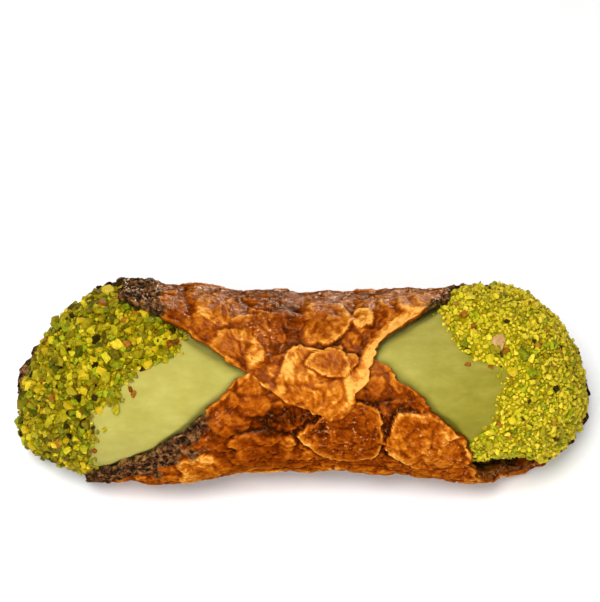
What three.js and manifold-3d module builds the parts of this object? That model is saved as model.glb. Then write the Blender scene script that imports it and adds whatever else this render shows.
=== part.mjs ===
// A filled cannoli: a square of fried dough wrapped round a tube so that two of its corners overlap,
// filled from end to end with pistachio cream and dipped in chopped pistachios at both ends.
//
// Millimetres, +Z up. The pastry lies along X on the plane z = 0, with its seam leaning towards -Y.
//
// The shapes are worked out in the pastry's own frame, where X runs along the tube, Z points out
// through the seam and Y is a quarter turn on from Z. A place on the wall is given by x, by an angle
// counted from Z towards Y, and by a radius. The dough starts at the corner of the upper flap, goes
// once round the back, and ends at the corner of the lower flap, which lies under the upper one.

import * as THREE from "three";
import { mergeVertices } from "three/addons/utils/BufferGeometryUtils.js";
import Module from "manifold-3d";

const wasm = await Module();
wasm.setup();

// ---- Driving dimensions, in mm and degrees ---------------------------------------------------

const SEAM_ELEVATION = 45; // the seam's direction above the table
const REST_FLAT_DEPTH = 0.7; // how much of the lowest bumps is pressed flat by the table

const TUBE_RADIUS = 21.4; // outside of the dough at mid length
const FLARE = 2.3; // how much wider the tube gets towards its ends
const FLARE_FROM = 8;
const FLARE_TO = 37;
const WALL = 2.3; // thickness of the dough
const FLAP_LIFT = 1.6; // the upper flap's rise over the lower one, less than the wall
const FLAP_LIFT_FROM = 78; // angle where the upper flap starts to rise
const FLAP_LIFT_TO = 38; // and where it lies fully on the lower flap

const RIPPLE = { height: 0.5, length: 4.5 }; // the dough's unevenness between its blisters
const BLISTER_COUNT = 130;
const BLISTER_RADIUS = [3.4, 7.2];
const BLISTER_HEIGHT = [0.5, 1.5];
const RELIEF_SUNK = 0.4; // how far the dough between the blisters lies below the tube's outside
const PLATE_ROOT = 1.3; // how deep a flattened blister is rooted in the wall
const PLATE_SIDES = 13;

const CREAM_GAP = 0.45; // the cream's clearance inside the wall
const CREAM_CROWN = 1.9; // how far the cream stands up in the open windows beside the seam
const END_CROWN = 3.4; // and at the ends of the pastry
const END_CROWN_FROM = 30; // distances from mid length between which the one becomes the other
const END_CROWN_TO = 46;
const CROWN_FROM = 2.6; // distances from the rim between which the cream rises
const CROWN_TO = 8;
const LEAN_SHARE = 0.93; // how close to the wall the domed ends' tips lie

const NUT_COUNT = 60; // large pistachio pieces tried on each end
const NUT_SIZE = [1.7, 3.1];
const NUT_SINK = 0.1; // how deep a piece sits in the cream, as a share of its size
const NUT_MARGIN = 2.6; // distance of the large pieces from the coating's edge and the rim
const LUMP = { height: 0.9, sunk: 0.4, length: 1.9 }; // the lumps that the finer pieces make

const FINE_FROM = 34; // distance from mid length where the cream's rings get fine
const FINE_RINGS = 15; // rings of each end, and the sides of each
const FINE_SIDES = 48;
const COARSE_RINGS = 14; // and those of the stretch between them
const COARSE_SIDES = 28;

const GRID = 3.05; // spacing of the points on the dough's outside
const WRAP_START = -24; // angle of the upper flap's corner
const WRAP_BACK = 180;
const WRAP_END = 396; // angle of the lower flap's corner, under the upper flap

const SEED = 20;

// The dough's two free rims, as [angle, x] pairs in the order of the wrap. They meet at the
// corners of the two flaps and reach furthest out behind the seam.
const LEFT_RIM = [
  [-24, 4], [-3, -8.1], [15, -18.6], [39, -33], [50, -40.5], [90, -44], [130, -56.3], [160, -66.5],
  [186, -71.5], [215, -66], [238, -57], [270, -50.8], [290, -49.5], [306, -40.5], [335, -24.5],
  [363, -12.7], [396, 3],
];
const RIGHT_RIM = [
  [-24, 7.5], [-3, 14.2], [15, 17.9], [24, 19.8], [45, 30.4], [56, 34], [90, 40], [130, 61],
  [169, 71.3], [203, 72], [224, 66.6], [243, 58.8], [258, 51], [304, 39.8], [323, 38.5],
  [355, 25.8], [372, 18], [396, 8],
];

// Broad swells and dips of the wrap: [x, angle, half length, half angle, height].
const SWELLS = [
  [32, 90, 14, 45, -1.7],
  [-27, 270, 11, 40, 1.7],
  [42, 285, 7, 30, 1.2],
];

// Flattened blisters and flakes fused to the dough: [x, angle, half length, half width, height].
const PLATES = [
  [4.0, -2, 8.6, 8.4, 0.9], // the cap on the upper flap's corner
  [7.2, 10, 5.6, 3.0, 1.3],
  [6.5, 38, 5.6, 7.6, 1.1],
  [14.5, 39, 2.6, 2.6, 1.0],
  [-19.5, 47, 6.0, 5.5, 0.9],
  [-9.5, 33, 6.0, 5.0, 0.8],
  [27.5, 52, 5.5, 4.0, 0.9],
  [10.9, 324, 9.0, 9.0, 1.2], // the round blister under the flap's corner
  [29.2, 319, 8.0, 9.0, 1.1],
  [-8.5, 309, 8.0, 6.5, 0.9],
  [-22.8, 295, 6.5, 6.0, 0.9],
  [-34.0, 284, 6.0, 4.0, 0.8],
  [-22.0, 108, 8.0, 6.0, 1.0],
  [18.0, 128, 7.0, 8.0, 1.1],
  [-38.0, 168, 9.0, 6.5, 1.0],
  [40.0, 190, 8.0, 7.0, 1.0],
  [2.0, 160, 6.0, 7.5, 0.9],
  [-5.0, 262, 9.0, 5.5, 1.0],
];

// The cream's two domed ends: tip position, length of the dome, its largest radius, the exponent
// of its outline, the angle towards which the tip leans, and the inner edge of the nuts.
const ENDS = [
  { sign: -1, tip: 69.8, dome: 29, radius: 23, power: 1.9, lean: 218,
    nutEdge: [[-75, 51], [-38, 48.8], [-19, 48.4], [-12, 42.4], [-4, 41.6], [6, 37.5], [12, 31], [20, 28],
      [45, 27.7], [75, 27]] },
  { sign: 1, tip: 71.6, dome: 24, radius: 23.3, power: 1.8, lean: 195,
    nutEdge: [[-75, 39], [-40, 40.3], [-30, 43], [-22, 45.5], [-8, 46.4], [6, 48], [11, 42], [18, 37.4],
      [30, 34.7], [44, 33], [75, 32]] },
];

// The hollow left between the nuts and the lower lip of the right end.
const LIP_HOLLOW = { x: 50.5, angle: 274, halfLength: 12.5, halfAngle: 38, depth: 7.6 };

// ---- Small tools -----------------------------------------------------------------------------

const rad = THREE.MathUtils.degToRad;
const { lerp, smoothstep, clamp } = THREE.MathUtils;

// A seeded source of numbers from 0 to 1.
function randomSource(seed) {
  let state = seed >>> 0;
  return () => {
    state = (state + 0x6d2b79f5) >>> 0;
    let t = Math.imul(state ^ (state >>> 15), 1 | state);
    t = (t + Math.imul(t ^ (t >>> 7), 61 | t)) ^ t;
    return ((t ^ (t >>> 14)) >>> 0) / 4294967296;
  };
}

// Smooth noise from -1 to 1 on a lattice one unit apart.
function noise(x, y, z) {
  const corner = (i, j, k) => {
    let h = Math.imul(i, 374761393) ^ Math.imul(j, 668265263) ^ Math.imul(k, 2147483647);
    h = Math.imul(h ^ (h >>> 13), 1274126177);
    return (((h ^ (h >>> 16)) >>> 0) / 2147483648) - 1;
  };
  const [i, j, k] = [Math.floor(x), Math.floor(y), Math.floor(z)];
  const [u, v, w] = [x - i, y - j, z - k].map((t) => t * t * (3 - 2 * t));
  const edge = (b, c) => lerp(corner(i, b, c), corner(i + 1, b, c), u);
  return lerp(lerp(edge(j, k), edge(j + 1, k), v), lerp(edge(j, k + 1), edge(j + 1, k + 1), v), w);
}

// The smooth curve through [position, value] pairs, read at one position.
function curveAt(pairs, at) {
  const last = pairs.length - 1;
  let i = 0;
  while (i < last - 1 && at > pairs[i + 1][0]) i += 1;
  const slope = (k) => {
    const [before, after] = [Math.max(k - 1, 0), Math.min(k + 1, last)];
    return (pairs[after][1] - pairs[before][1]) / (pairs[after][0] - pairs[before][0]);
  };
  const span = pairs[i + 1][0] - pairs[i][0];
  const t = clamp((at - pairs[i][0]) / span, 0, 1);
  const [t2, t3] = [t * t, t * t * t];
  return (
    (2 * t3 - 3 * t2 + 1) * pairs[i][1] + (t3 - 2 * t2 + t) * span * slope(i) +
    (3 * t2 - 2 * t3) * pairs[i + 1][1] + (t3 - t2) * span * slope(i + 1)
  );
}

// A place in the pastry's own frame from its x, angle in degrees and radius.
function place(x, angle, radius) {
  return new THREE.Vector3(x, radius * Math.sin(rad(angle)), radius * Math.cos(rad(angle)));
}

// An angle brought into the range of the wrap's outermost layer, 0 to 360.
function turn(angle) {
  return ((angle % 360) + 360) % 360;
}

// A geometry from points and triangles given by their numbers.
function geometryOf(points, triangles) {
  const geometry = new THREE.BufferGeometry().setFromPoints(points);
  geometry.setIndex(triangles);
  return geometry;
}

// A three.js geometry as a solid, and back.
function solidOf(geometry) {
  const bare = geometry.clone();
  bare.deleteAttribute("normal");
  bare.deleteAttribute("uv");
  const merged = mergeVertices(bare, 1e-4);
  const vertProperties = new Float32Array(merged.attributes.position.array);
  const triVerts = new Uint32Array(merged.index.array);
  return new wasm.Manifold(new wasm.Mesh({ numProp: 3, vertProperties, triVerts }));
}

function geometryFrom(solid) {
  const mesh = solid.getMesh();
  const geometry = new THREE.BufferGeometry();
  geometry.setAttribute("position", new THREE.BufferAttribute(mesh.vertProperties, 3));
  geometry.setIndex(new THREE.BufferAttribute(mesh.triVerts, 1));
  geometry.computeVertexNormals();
  return geometry;
}

// ---- The dough's wall ------------------------------------------------------------------------

const flareAt = (x) => FLARE * smoothstep(Math.abs(x), FLARE_FROM, FLARE_TO);
const flapLift = (angle) => FLAP_LIFT * (1 - smoothstep(angle, FLAP_LIFT_TO, FLAP_LIFT_FROM));
const outerRadius = (x, angle) => TUBE_RADIUS + flareAt(x) + swellAt(x, angle) + flapLift(angle);
const innerRadius = (x, angle) => TUBE_RADIUS + flareAt(x) + swellAt(x, angle) - WALL;

function swellAt(x, angle) {
  const rise = ([atX, atAngle, halfLength, halfAngle, height]) => {
    const along = (x - atX) / halfLength;
    const across = (turn(angle) - atAngle) / halfAngle;
    return height * Math.exp(-along * along - across * across);
  };
  return SWELLS.reduce((sum, swell) => sum + rise(swell), 0);
}

// The frayed rims: a side of -1 is the left rim and 1 the right one.
function rimAt(side, angle) {
  const fray = 0.7 * noise(angle / 9, side * 7, SEED) + 0.4 * noise(angle / 4, side * 3, SEED);
  return curveAt(side < 0 ? LEFT_RIM : RIGHT_RIM, angle) + fray;
}

// Round blisters scattered over the whole wrap, each a centre, a radius and a height.
function scatterBlisters() {
  const random = randomSource(SEED);
  return Array.from({ length: BLISTER_COUNT }, () => {
    const angle = lerp(WRAP_START, WRAP_END, random());
    return {
      x: lerp(rimAt(-1, angle), rimAt(1, angle), random()),
      angle,
      radius: lerp(...BLISTER_RADIUS, random() ** 1.5),
      height: lerp(...BLISTER_HEIGHT, random()),
    };
  });
}
const blisters = scatterBlisters();

// How far the fried surface stands up from the smooth tube: domed blisters over a gentle ripple.
function relief(x, angle) {
  const around = rad(angle) * TUBE_RADIUS;
  let height = RIPPLE.height * noise(x / RIPPLE.length, around / RIPPLE.length, SEED);
  for (const blister of blisters) {
    const along = (x - blister.x) / blister.radius;
    const across = (rad(angle - blister.angle) * TUBE_RADIUS) / blister.radius;
    const near = 1 - along * along - across * across;
    if (near > 0) height = Math.max(height, blister.height * Math.sqrt(near));
  }
  return height - RELIEF_SUNK;
}

// The triangles between two lines of points, walked side by side. Lines of unlike length are
// matched by their share of the way, and flip turns the faces over.
function stitch(near, far, flip = false) {
  const triangles = [];
  let [i, j] = [0, 0];
  while (i + 1 < near.length || j + 1 < far.length) {
    const nearFirst = (i + 1) / (near.length - 1) <= (j + 1) / (far.length - 1);
    const walkNear = j + 1 === far.length || (i + 1 < near.length && nearFirst);
    const triangle = walkNear ? [near[i], near[i + 1], far[j]] : [near[i], far[j + 1], far[j]];
    triangles.push(...(flip ? triangle.reverse() : triangle));
    if (walkNear) i += 1;
    else j += 1;
  }
  return triangles;
}

// One stretch of the dough between two angles, as a closed sheet. Its fried outside has points
// every GRID mm, and its smooth inside every second one of them.
function doughSheet(fromAngle, toAngle) {
  const rows = 2 * Math.round((rad(toAngle - fromAngle) * TUBE_RADIUS) / GRID / 2);
  const points = [];
  const layer = (step, radiusAt) => {
    const lines = [];
    for (let row = 0; row <= rows; row += step) {
      const angle = lerp(fromAngle, toAngle, row / rows);
      const [left, right] = [rimAt(-1, angle), rimAt(1, angle)];
      const count = Math.max(2, Math.round((right - left) / (GRID * step)));
      const across = (i) => lerp(left, right, i / count);
      const onLine = (x) => points.push(place(x, angle, radiusAt(x, angle))) - 1;
      lines.push(Array.from({ length: count + 1 }, (_, i) => onLine(across(i))));
    }
    return lines;
  };
  const outside = layer(1, (x, angle) => outerRadius(x, angle) + relief(x, angle));
  const inside = layer(2, (x, angle) => innerRadius(x, angle) + flapLift(angle));
  const surface = (lines, flip) => lines.slice(1).flatMap((far, i) => stitch(lines[i], far, flip));
  const start = (lines) => lines.map((line) => line[0]);
  const finish = (lines) => lines.map((line) => line[line.length - 1]);
  const triangles = [
    ...surface(outside, false),
    ...surface(inside, true),
    ...stitch(inside[0], outside[0]),
    ...stitch(inside[inside.length - 1], outside[outside.length - 1], true),
    ...stitch(start(inside), start(outside), true),
    ...stitch(finish(inside), finish(outside)),
  ];
  return solidOf(geometryOf(points, triangles));
}

// A flattened blister: a low lathed disc with a raised edge, bent onto the tube.
function plate([x, angle, halfLength, halfWidth, height]) {
  const profile = [[0, -PLATE_ROOT], [0.9, -PLATE_ROOT], [1, height], [0, 0.7 * height]];
  const outline = profile.map(([r, z]) => new THREE.Vector2(r, z));
  const disc = new THREE.LatheGeometry(outline, PLATE_SIDES);
  const position = disc.getAttribute("position");
  for (let i = 0; i < position.count; i += 1) {
    const [across, rise, along] = [position.getX(i), position.getY(i), position.getZ(i)];
    const wobble = 1 + 0.3 * noise(along * 1.6 + x, across * 1.6 + angle, 5);
    const atX = x + along * wobble * halfLength;
    const atAngle = angle + THREE.MathUtils.radToDeg((across * wobble * halfWidth) / TUBE_RADIUS);
    const point = place(atX, atAngle, outerRadius(atX, atAngle) + rise);
    position.setXYZ(i, point.x, point.y, point.z);
  }
  return solidOf(disc);
}

function makeShell() {
  let shell = doughSheet(WRAP_START, WRAP_BACK).add(doughSheet(WRAP_BACK, WRAP_END));
  for (const each of PLATES) shell = shell.add(plate(each));
  return shell;
}

// ---- The cream and the nuts on it ------------------------------------------------------------

// How far a place lies outside the dough's rims, measured square to them: positive where the
// cream is in the open.
function exposure(x, angle) {
  const step = 4;
  const beyond = (side, layer) => {
    const rise = rimAt(side, layer + step) - rimAt(side, layer - step);
    return (side * (x - rimAt(side, layer))) / Math.hypot(1, rise / (rad(2 * step) * TUBE_RADIUS));
  };
  const layers = [turn(angle), turn(angle) - 360, turn(angle) + 360];
  const onDough = layers.filter((layer) => layer >= WRAP_START && layer <= WRAP_END);
  return Math.min(...onDough.map((layer) => Math.max(beyond(-1, layer), beyond(1, layer))));
}

const endOf = (x) => ENDS[x < 0 ? 0 : 1];

// The radius of the cream's round section at x, and the point it is centred on. The section
// shrinks towards a tip that leans to the back of the pastry.
function creamSection(x) {
  const end = endOf(x);
  const inward = clamp((end.tip - Math.abs(x)) / end.dome, 0, 1);
  const share = (1 - (1 - inward) ** end.power) ** (1 / end.power);
  const offset = LEAN_SHARE * (innerRadius(x, end.lean) - CREAM_GAP) * (1 - share);
  return { radius: end.radius * share, centre: place(x, end.lean, offset) };
}

// The most that the cream may stand out from the axis at a place.
function creamLimit(x, angle) {
  const towardsEnd = smoothstep(Math.abs(x), END_CROWN_FROM, END_CROWN_TO);
  const crown = lerp(CREAM_CROWN, END_CROWN, towardsEnd);
  const open = smoothstep(exposure(x, angle), CROWN_FROM, CROWN_TO);
  const alongLip = (x - LIP_HOLLOW.x) / LIP_HOLLOW.halfLength;
  const acrossLip = (turn(angle) - LIP_HOLLOW.angle) / LIP_HOLLOW.halfAngle;
  const hollow = LIP_HOLLOW.depth * Math.exp(-(alongLip ** 4) - acrossLip ** 2);
  return innerRadius(x, angle) - CREAM_GAP + crown * open - hollow;
}

// Where a ray out of the section's centre meets the cream.
function creamPoint(x, around) {
  const { radius, centre } = creamSection(x);
  const point = place(x, around, radius).add(new THREE.Vector3(0, centre.y, centre.z));
  const angle = THREE.MathUtils.radToDeg(Math.atan2(point.y, point.z));
  const reach = Math.hypot(point.y, point.z);
  const limit = creamLimit(x, angle);
  const kept = reach > limit ? limit / reach : 1;
  return new THREE.Vector3(x, point.y * kept, point.z * kept);
}

// Whether a place on the cream is covered with nuts, with a margin in mm.
function nutCover(point) {
  const angle = THREE.MathUtils.radToDeg(Math.atan2(point.y, point.z));
  const edge = curveAt(endOf(point.x).nutEdge, clamp(angle, -75, 75));
  return Math.min(Math.abs(point.x) - edge, exposure(point.x, angle));
}

// A place on the cream's coarse surface, with the bumps of the chopped nuts where they cover it.
function coatedPoint(x, around) {
  const point = creamPoint(x, around);
  const cover = smoothstep(nutCover(point), 0.8, 3);
  const lumps = 2.2 * noise(...point.clone().divideScalar(LUMP.length));
  const bump = cover * (clamp(lumps, -LUMP.height, LUMP.height) - LUMP.sunk);
  const { centre } = creamSection(x);
  const out = new THREE.Vector3(0, point.y - centre.y, point.z - centre.z).normalize();
  return point.addScaledVector(out, bump);
}

// The cream's rings from the left tip to the right one, each an x and a number of sides: small
// steps and many sides where the ends are open, and few inside the tube.
function creamRings() {
  const dome = (end) =>
    Array.from({ length: FINE_RINGS }, (_, i) => {
      const way = ((i + 1) / FINE_RINGS) ** 1.3;
      return { x: end.sign * lerp(end.tip, FINE_FROM, way), sides: FINE_SIDES };
    });
  const middle = Array.from({ length: COARSE_RINGS }, (_, i) => {
    return { x: lerp(-FINE_FROM, FINE_FROM, (i + 1) / (COARSE_RINGS + 1)), sides: COARSE_SIDES };
  });
  return [...dome(ENDS[0]), ...middle, ...dome(ENDS[1]).reverse()];
}

function makeCream() {
  const points = [];
  const rings = creamRings().map(({ x, sides }) => {
    const around = Array.from({ length: sides }, (_, i) => (i * 360) / sides);
    const ring = around.map((angle) => points.push(coatedPoint(x, angle)) - 1);
    return [...ring, ring[0]];
  });
  const triangles = rings.slice(1).flatMap((ring, i) => stitch(ring, rings[i]));
  const cap = (ring, end, flip) => {
    const { centre } = creamSection(end.sign * end.tip);
    const pole = points.push(centre) - 1;
    triangles.push(...stitch([pole], ring, flip));
  };
  cap(rings[0], ENDS[0], true);
  cap(rings[rings.length - 1], ENDS[1], false);
  return solidOf(geometryOf(points, triangles));
}

// One chopped piece: a rough-cut block, its long side lying on the cream.
function nutPiece(random, point, out) {
  const block = new THREE.BoxGeometry(1, 1, 1);
  const position = block.getAttribute("position");
  const twist = random() * 50;
  for (let i = 0; i < position.count; i += 1) {
    const corner = new THREE.Vector3().fromBufferAttribute(position, i);
    const uneven = (axis) => 0.5 * noise(corner.x + twist, corner.y + axis * 9, corner.z);
    position.setXYZ(i, corner.x + uneven(1), corner.y + uneven(2), corner.z + uneven(3));
  }
  const size = lerp(...NUT_SIZE, random() ** 1.4);
  block.scale(size * lerp(1, 1.4, random()), size * lerp(0.7, 1, random()), size * 0.7);
  block.rotateZ(random() * Math.PI);
  block.rotateX((random() - 0.5) * 1.2);
  const facing = new THREE.Quaternion().setFromUnitVectors(new THREE.Vector3(0, 0, 1), out);
  block.applyQuaternion(facing);
  block.translate(...point.clone().addScaledVector(out, -NUT_SINK * size).toArray());
  return solidOf(block);
}

// The larger pieces, spread evenly over each end: each new place is the one of several tries that
// lies furthest from the pieces already set.
function scatterNuts(end) {
  const random = randomSource(SEED + end.sign);
  const places = [];
  const tries = 24;
  while (places.length < NUT_COUNT) {
    let best = null;
    for (let i = 0; i < tries; i += 1) {
      const x = end.sign * (end.tip - 0.4 - (end.dome + 14) * random() ** 1.2);
      const point = coatedPoint(x, random() * 360);
      if (nutCover(point) < NUT_MARGIN) continue;
      const nearest = Math.min(...places.map((p) => p.distanceTo(point)), 1e3);
      if (!best || nearest > best.nearest) best = { point, nearest };
    }
    if (best) places.push(best.point);
  }
  const middle = new THREE.Vector3(end.sign * (end.tip - end.dome), 0, 0);
  return places.map((point) => nutPiece(random, point, point.clone().sub(middle).normalize()));
}

// The cream with its larger nuts. A piece that doesn't sit well into the cream is left out.
function addNuts(bareCream) {
  const seated = (piece) => piece.intersect(bareCream).volume() > 0.25 * piece.volume();
  const pieces = ENDS.flatMap(scatterNuts).filter(seated);
  return pieces.reduce((whole, piece) => whole.add(piece), bareCream);
}

// ---- Assembly --------------------------------------------------------------------------------

// The turn that leans the seam from straight up to its elevation, towards -Y.
const lean = new THREE.Matrix4().makeRotationX(rad(90 - SEAM_ELEVATION));

const leaned = (solid) => solidOf(geometryFrom(solid).applyMatrix4(lean));

function lowestOf(solid) {
  return solid.boundingBox().min[2];
}

// The table's top as a thick slab below a height, to press the lowest bumps flat.
function slabBelow(height) {
  const [length, depth] = [200, 20];
  const slab = new THREE.BoxGeometry(length, length, depth);
  return solidOf(slab.translate(0, 0, height - depth / 2));
}

const shellLeaned = leaned(makeShell());
const tableHeight = lowestOf(shellLeaned) + REST_FLAT_DEPTH;
const shellSolid = shellLeaned.subtract(slabBelow(tableHeight));

const creamSolid = leaned(addNuts(makeCream()));

const doughMaterial = new THREE.MeshStandardMaterial({ color: 0xa55a1c, roughness: 0.42, metalness: 0 });
const creamMaterial = new THREE.MeshStandardMaterial({ color: 0xc2b85c, roughness: 0.55, metalness: 0 });

const shell = new THREE.Mesh(geometryFrom(shellSolid), doughMaterial);
shell.name = "shell";
const cream = new THREE.Mesh(geometryFrom(creamSolid), creamMaterial);
cream.name = "cream";

// The origin is on the table, under the middle of the pastry.
const cannoli = new THREE.Group();
cannoli.name = "cannoli";
cannoli.add(shell, cream);
const extent = new THREE.Box3().setFromObject(cannoli);
const middle = extent.getCenter(new THREE.Vector3());
cannoli.position.set(-middle.x, -middle.y, -extent.min.z);

export default cannoli;
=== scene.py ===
"""The looks of a filled cannoli: fried dough, pistachio cream and chopped pistachios.

Places on the pastry are worked out as in the CAD part, in millimetres and degrees: x runs along the
tube, the angle is counted round it from the seam towards the back, and the radius from its axis.
on_table() leans such points and gives them in metres in the row frame.
"""

import bmesh
import bpy
import numpy as np
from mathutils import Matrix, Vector


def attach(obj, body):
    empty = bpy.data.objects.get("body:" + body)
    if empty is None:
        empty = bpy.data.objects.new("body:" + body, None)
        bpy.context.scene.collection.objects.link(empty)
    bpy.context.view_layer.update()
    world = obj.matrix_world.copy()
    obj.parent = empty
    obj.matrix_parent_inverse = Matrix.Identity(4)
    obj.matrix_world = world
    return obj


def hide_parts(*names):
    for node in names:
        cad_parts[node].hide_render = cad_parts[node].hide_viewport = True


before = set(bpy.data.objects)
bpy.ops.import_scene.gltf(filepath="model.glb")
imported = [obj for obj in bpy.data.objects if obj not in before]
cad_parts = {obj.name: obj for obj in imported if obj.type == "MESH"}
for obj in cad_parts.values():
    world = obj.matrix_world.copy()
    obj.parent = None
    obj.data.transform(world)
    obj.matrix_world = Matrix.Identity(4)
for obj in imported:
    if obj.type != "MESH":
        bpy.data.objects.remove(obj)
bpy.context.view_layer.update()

# ---- The wrap's dimensions, the same as the CAD part's, in mm and degrees ----

SEAM_ELEVATION = 45  # the seam's direction above the table
PASTRY_CENTRE = (-1.0293, 0.4640, 24.0047)  # the tube's middle in the row frame

TUBE_RADIUS = 21.4
FLARE = 2.3
FLARE_FROM, FLARE_TO = 8, 37
WALL = 2.3
FLAP_LIFT = 1.6
FLAP_LIFT_FROM, FLAP_LIFT_TO = 78, 38

RIPPLE_HEIGHT, RIPPLE_LENGTH = 0.5, 4.5
BLISTER_COUNT = 130
BLISTER_RADIUS = (3.4, 7.2)
BLISTER_HEIGHT = (0.5, 1.5)
RELIEF_SUNK = 0.4

WRAP_START, WRAP_END = -24, 396
SEED = 20

LEFT_RIM = [
    (-24, 4), (-3, -8.1), (15, -18.6), (39, -33), (50, -40.5), (90, -44), (130, -56.3),
    (160, -66.5), (186, -71.5), (215, -66), (238, -57), (270, -50.8), (290, -49.5), (306, -40.5),
    (335, -24.5), (363, -12.7), (396, 3),
]
RIGHT_RIM = [
    (-24, 7.5), (-3, 14.2), (15, 17.9), (24, 19.8), (45, 30.4), (56, 34), (90, 40), (130, 61),
    (169, 71.3), (203, 72), (224, 66.6), (243, 58.8), (258, 51), (304, 39.8), (323, 38.5),
    (355, 25.8), (372, 18), (396, 8),
]

# Broad swells and dips: x, angle, half length, half angle, height.
SWELLS = [(32, 90, 14, 45, -1.7), (-27, 270, 11, 40, 1.7), (42, 285, 7, 30, 1.2)]

# Flattened blisters and flakes: x, angle, half length, half width and height as in the CAD part; how
# much darker (above 0) or paler (below 0) they are fried; how crisp their outline is, and in which
# direction (0 is +x, 90 is on round the tube). An outline without a direction is crisp all round.
# A crisp outline gets a crevice round it, sunk and painted darker as painted shade.
PLATES = [
    (4, -2, 8.6, 8.4, 0.9, -0.04, 0.7, 90),
    (7.2, 10, 5.6, 3, 1.3, 0.1, 0.9, None),
    (6.5, 38, 5.6, 7.6, 1.1, -0.06, 0.9, 330),
    (14.5, 39, 2.6, 2.6, 1, -0.2, 0.6, None),
    (-19.5, 47, 6, 5.5, 0.9, -0.06, 0.3, 250),
    (-9.5, 33, 6, 5, 0.8, 0, 0.4, 200),
    (27.5, 52, 5.5, 4, 0.9, -0.05, 0.3, None),
    (10.9, 324, 9, 9, 1.2, 0.02, 1, None),
    (29.2, 319, 8, 9, 1.1, -0.06, 1, 180),
    (-8.5, 309, 8, 6.5, 0.9, -0.03, 0.5, 90),
    (-22.8, 295, 6.5, 6, 0.9, -0.1, 0.5, 150),
    (-34, 284, 6, 4, 0.8, 0, 0.3, None),
    (-22, 108, 8, 6, 1, 0, 0.6, 200),
    (18, 128, 7, 8, 1.1, 0.03, 0.8, None),
    (-38, 168, 9, 6.5, 1, 0, 0.5, 0),
    (40, 190, 8, 7, 1, 0.03, 0.6, 180),
    (2, 160, 6, 7.5, 0.9, -0.05, 0.7, None),
    (-5, 262, 9, 5.5, 1, 0, 0.5, 90),
]

ENDS = [
    {"tip": 69.8, "dome": 29, "radius": 23, "power": 1.9, "lean": 218,
     "nut_edge": [(-75, 51), (-38, 48.8), (-19, 48.4), (-12, 42.4), (-4, 41.6), (6, 37.5), (12, 31),
                  (20, 28), (45, 27.7), (75, 27)]},
    {"tip": 71.6, "dome": 24, "radius": 23.3, "power": 1.8, "lean": 195,
     "nut_edge": [(-75, 39), (-40, 40.3), (-30, 43), (-22, 45.5), (-8, 46.4), (6, 48), (11, 42),
                  (18, 37.4), (30, 34.7), (44, 33), (75, 32)]},
]
END_CROWN = 3.4
CREAM_CROWN = 1.9
END_CROWN_FROM, END_CROWN_TO = 30, 46
LEAN_SHARE = 0.93
LIP_HOLLOW = {"x": 50.5, "angle": 274, "half_length": 12.5, "half_angle": 38, "depth": 7.6}

# The cream shown here lies closer to the dough than the CAD solid, which has to stay clear of it.
CREAM_GAP = 0.2
CROWN_FROM, CROWN_TO = -0.2, 1.5
RIM_FILL = 0.6  # how much closer to the outside the cream lies under the thin rims

# ---- What only the looks have, in mm and degrees ----

FINE_GRID, COARSE_GRID = 0.34, 0.66  # spacing of the crust's points in front and at the back
INNER_GRID = 1.1  # along the tube on its inside, where each row of points stands for INNER_EVERY
INNER_EVERY = 2
RIM_THICKNESS = 1.7  # the dough thins out towards its rims over RIM_TAPER
RIM_TAPER = 5
RIM_LAYERS = (0.3, -0.12, 0.24, -0.06, 0.18)  # how far the layers in the broken rim stand out
RIM_JITTER, LIP_JITTER = 0.16, 0.5  # how uneven they are, in general and in the lower lip
LIP = (50, 258, 18, 18, 0, 1)  # the lumpy inside of the lower lip, as an oval like those below
LIP_LUMP_SIZE, LIP_LUMP_HEIGHT = 3.4, 1.7
TIP_WIDER = {-1: 0, 1: 2.8}  # how much further the upper flap's blunt tip reaches to each side
TIP_FROM, TIP_TO = -6, -20

# Fine relief on square cells of the crust: the cells' size and how high it stands, for bubbles where
# the crust is smooth and where it is rough, and the share of the cells that have one.
LARGE_FLAKES, SMALL_FLAKES = (6.5, 0.55), (2.9, 0.26)
LARGE_BUBBLES, SMALL_BUBBLES = (1.7, 0.06, 0.26, 0.6), (1.0, 0.06, 0.2, 0.8)
LARGE_CRUMBS, SMALL_CRUMBS = (1.7, 0.7), (0.9, 0.5)  # in the black lining
CREASE_SIZE, CREASE_HEIGHT = 4.4, 0.12

# The rims' nearly black lining: its width on each rim, as (angle, mm) pairs. Below 0 is none.
DARK_RIMS = {
    -1: [(-24, -1), (33, -1), (40, 1.6), (48, 4.5), (56, 8), (64, 10), (76, 9), (90, 6), (120, 4),
         (240, 4), (270, 5), (290, 7), (300, 6.5), (310, 5.4), (320, 4.4),
         (330, 3.4), (338, 1.6), (345, -1), (396, -1)],
    1: [(-24, -1), (40, -1), (46, 1.4), (58, 1.4), (75, 0.6), (110, 3), (220, 4), (236, -1),
        (396, -1)],
}
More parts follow.
